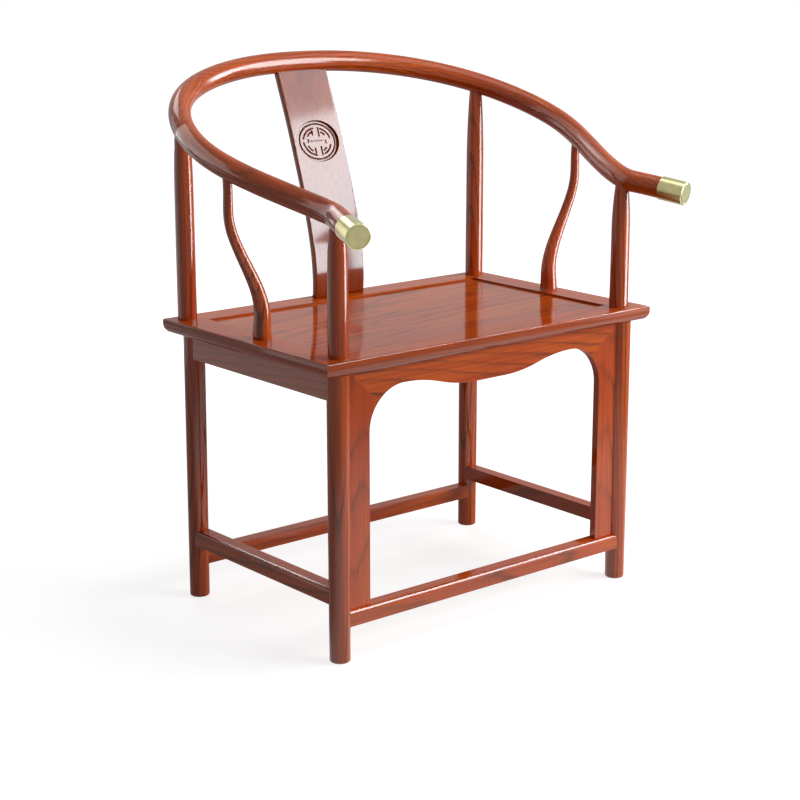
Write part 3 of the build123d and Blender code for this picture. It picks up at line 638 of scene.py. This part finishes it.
world = bpy.data.worlds.new("studio")
bpy.context.scene.world = world
world.use_nodes = True
sky = world.node_tree
sky.nodes.clear()
sky_out = sky.nodes.new("ShaderNodeOutputWorld")
background = sky.nodes.new("ShaderNodeBackground")
background.inputs["Color"].default_value = grey(1.0)
sky_path = sky.nodes.new("ShaderNodeLightPath")
sky_seen = sky.nodes.new("ShaderNodeMath")
sky_seen.operation = "MAXIMUM"
sky.links.new(sky_path.outputs["Is Camera Ray"], sky_seen.inputs[0])
sky.links.new(sky_path.outputs["Is Glossy Ray"], sky_seen.inputs[1])
sky_clear = sky.nodes.new("ShaderNodeMath")
sky_clear.operation = "MAXIMUM"
sky.links.new(sky_seen.outputs[0], sky_clear.inputs[0])
sky.links.new(sky_path.outputs["Is Transmission Ray"], sky_clear.inputs[1])
sky_level = sky.nodes.new("ShaderNodeMapRange")
sky_level.inputs["To Min"].default_value = AMBIENT
sky_level.inputs["To Max"].default_value = 1.0
sky.links.new(sky_clear.outputs[0], sky_level.inputs["Value"])
sky.links.new(sky_level.outputs[0], background.inputs["Strength"])
sky.links.new(background.outputs[0], sky_out.inputs[0])


# ------------------------------------------------------------------ lamps
WHITE = (1.0, 1.0, 1.0)
COOL = (0.80, 1.0, 1.07)
SEAT_MIDDLE = Vector((0.0, 0.2, 0.0))


def softbox(name, place, aim, size, radiance, tint=WHITE, shine=True, shade=True):
    """A soft lamp; with shade off it only shows in the gloss, with shine off it never does."""
    width, height = size
    lamp = bpy.data.lights.new(name, "AREA")
    lamp.shape = "RECTANGLE"
    lamp.size = width
    lamp.size_y = height
    lamp.color = tint
    lamp.energy = radiance * math.pi * width * height
    obj = bpy.data.objects.new(name, lamp)
    obj.location = place
    direction = Vector(aim) - Vector(place)
    obj.rotation_euler = direction.to_track_quat("-Z", "Y").to_euler()
    obj.visible_camera = False
    obj.visible_glossy = shine
    obj.visible_diffuse = shade
    bpy.context.scene.collection.objects.link(obj)
    return obj


def panel(name, bearing, distance, across, heights, radiance, tint=WHITE):
    """An upright sheet of light facing the chair, seen only in the gloss.

    Bearing is the level direction from the seat, across the span to the left of it as seen
    from the chair, and heights are the lowest and highest edge."""
    out = Vector((bearing[0], bearing[1], 0.0)).normalized()
    side = Vector((-out.y, out.x, 0.0))
    middle = SEAT_MIDDLE + out * distance + side * (across[0] + across[1]) / 2
    middle.z = (heights[0] + heights[1]) / 2
    size = (across[1] - across[0], heights[1] - heights[0])
    return softbox(name, middle, middle - out, size, radiance, tint, shade=False)


def only_for(lamps, pieces, name):
    """Links lamps to some pieces, so that no other piece mirrors them."""
    group = bpy.data.collections.new(name)
    for piece in pieces:
        group.objects.link(piece)
    for lamp in lamps:
        lamp.light_linking.receiver_collection = group


FRONT_RIGHT = (0.646, -0.763)
BACK_LEFT = (-0.62, 0.74)
BACK_ARM = (-0.42, 0.907)
STRAIGHT_BACK = (0.09, 0.74)
WINDOW_DISTANCE = 2.4
BACK_LEFT_DISTANCE = 1.3
ARM_WINDOW_DISTANCE = 2.0
STRAIGHT_BACK_DISTANCE = 2.2
WIDE = (-1.0, 2.4)
softbox("key", (1.56, -1.62, 1.155), (0.0, 0.2, 0.67), (1.9, 0.66), 12.2, shine=False)
softbox("overhead", (0.5, -0.5, 3.0), (0.0, 0.0, 0.5), (2.0, 2.0), 2.8)
softbox("back_fill", (0.9, 2.6, 1.5), (0.0, 0.2, 0.5), (2.0, 1.4), 3.0, shine=False)

# Upright pieces mirror the windows in full. Level ones mirror them dimmed, because from
# behind they would throw them straight into the view.
UPRIGHT = ("crest", "shoulder", "arm_rail", "post", "side_post", "leg", "brass")
upright_pieces = [splat] + [nodes[name] for name in sorted(nodes) if name.startswith(UPRIGHT)]
level_pieces = [nodes[name] for name in sorted(nodes) if not name.startswith(UPRIGHT)]
# Windows: name, span across, heights and radiance.
WINDOWS = (
    ("low", (-0.36, 0.80), (0.05, 0.95), 26.0),
    ("high", WIDE, (0.95, 2.0), 26.0),
    ("top", WIDE, (2.0, 2.35), 8.0),
)
DIMMED = 0.12


def windows(prefix, factor):
    return [
        panel(prefix + word, FRONT_RIGHT, WINDOW_DISTANCE, across, heights, radiance * factor, COOL)
        for word, across, heights, radiance in WINDOWS
    ]


bright = windows("window_", 1.0)
dim = windows("dim_window_", DIMMED)
only_for(bright, upright_pieces, "upright_pieces")
only_for(dim, level_pieces, "level_pieces")

# Lamps for one kind of piece each, which put its highlight where the photo has it:
# lamp, pieces, group, bearing, distance, across, heights, radiance and tint.
STRETCHERS = tuple("stretcher_" + side for side in ("front", "back", "left", "right"))
LINKED = (
    ("edge_light", ("seat_rail_front",), "front_edge",
     FRONT_RIGHT, WINDOW_DISTANCE, WIDE, (1.55, 2.7), 90.0, COOL),
    ("stretcher_light", STRETCHERS, "stretchers",
     FRONT_RIGHT, WINDOW_DISTANCE, WIDE, (1.35, 4.5), 32.0, COOL),
    ("apron_sheen", ("apron_left",), "left_apron",
     BACK_LEFT, BACK_LEFT_DISTANCE, (-0.6, 0.95), (0.0, 0.6), 0.85, WHITE),
    ("arm_window_left", ("arm_rail_left",), "arm_pieces_left",
     BACK_ARM, ARM_WINDOW_DISTANCE, (-2.6, 3.4), (0.5, 4.6), 4.2, WHITE),
    ("arm_window_right", ("arm_rail_right", "shoulder_rail_right"), "arm_pieces_right",
     BACK_ARM, ARM_WINDOW_DISTANCE, (-2.6, 3.1), (0.5, 4.6), 2.2, WHITE),
    ("side_stretcher_light", ("stretcher_left",), "left_stretcher",
     STRAIGHT_BACK, STRAIGHT_BACK_DISTANCE, (-0.8, 0.8), (1.6, 3.6), 11.0, WHITE),
)
for lamp_name, pieces, group, *setting in LINKED:
    only_for([panel(lamp_name, *setting)], [nodes[name] for name in pieces], group)

panel("back_high", STRAIGHT_BACK, STRAIGHT_BACK_DISTANCE, (-0.5, 0.5), (2.1, 3.1), 5.0)
panel("back_left", BACK_LEFT, BACK_LEFT_DISTANCE, (0.33, 0.95), (0.12, 1.3), 1.4)
panel("back_left_inner", BACK_LEFT, BACK_LEFT_DISTANCE, (-0.60, 0.0), (0.12, 1.3), 1.4)


# ------------------------------------------------------------------ camera
# The photo's camera. The seat's middle lies this far in front of the frame's origin.
SEAT_FORWARD = 11.01 * MM
EYE = (-1883.8 * MM, -2231.1 * MM - SEAT_FORWARD, 1058.3 * MM)
AZIMUTH = math.radians(39.85)
ELEVATION = math.radians(14.25)
camera_data = bpy.data.cameras.new("camera")
camera_data.sensor_width = 36.0
camera_data.lens = 83.7
camera_data.clip_end = 60.0
camera = bpy.data.objects.new("camera", camera_data)
camera.location = EYE
camera.rotation_euler = (math.radians(90) - ELEVATION, 0.0, -AZIMUTH)
bpy.context.scene.collection.objects.link(camera)
bpy.context.scene.camera = camera

bpy.context.scene.view_settings.view_transform = "Standard"
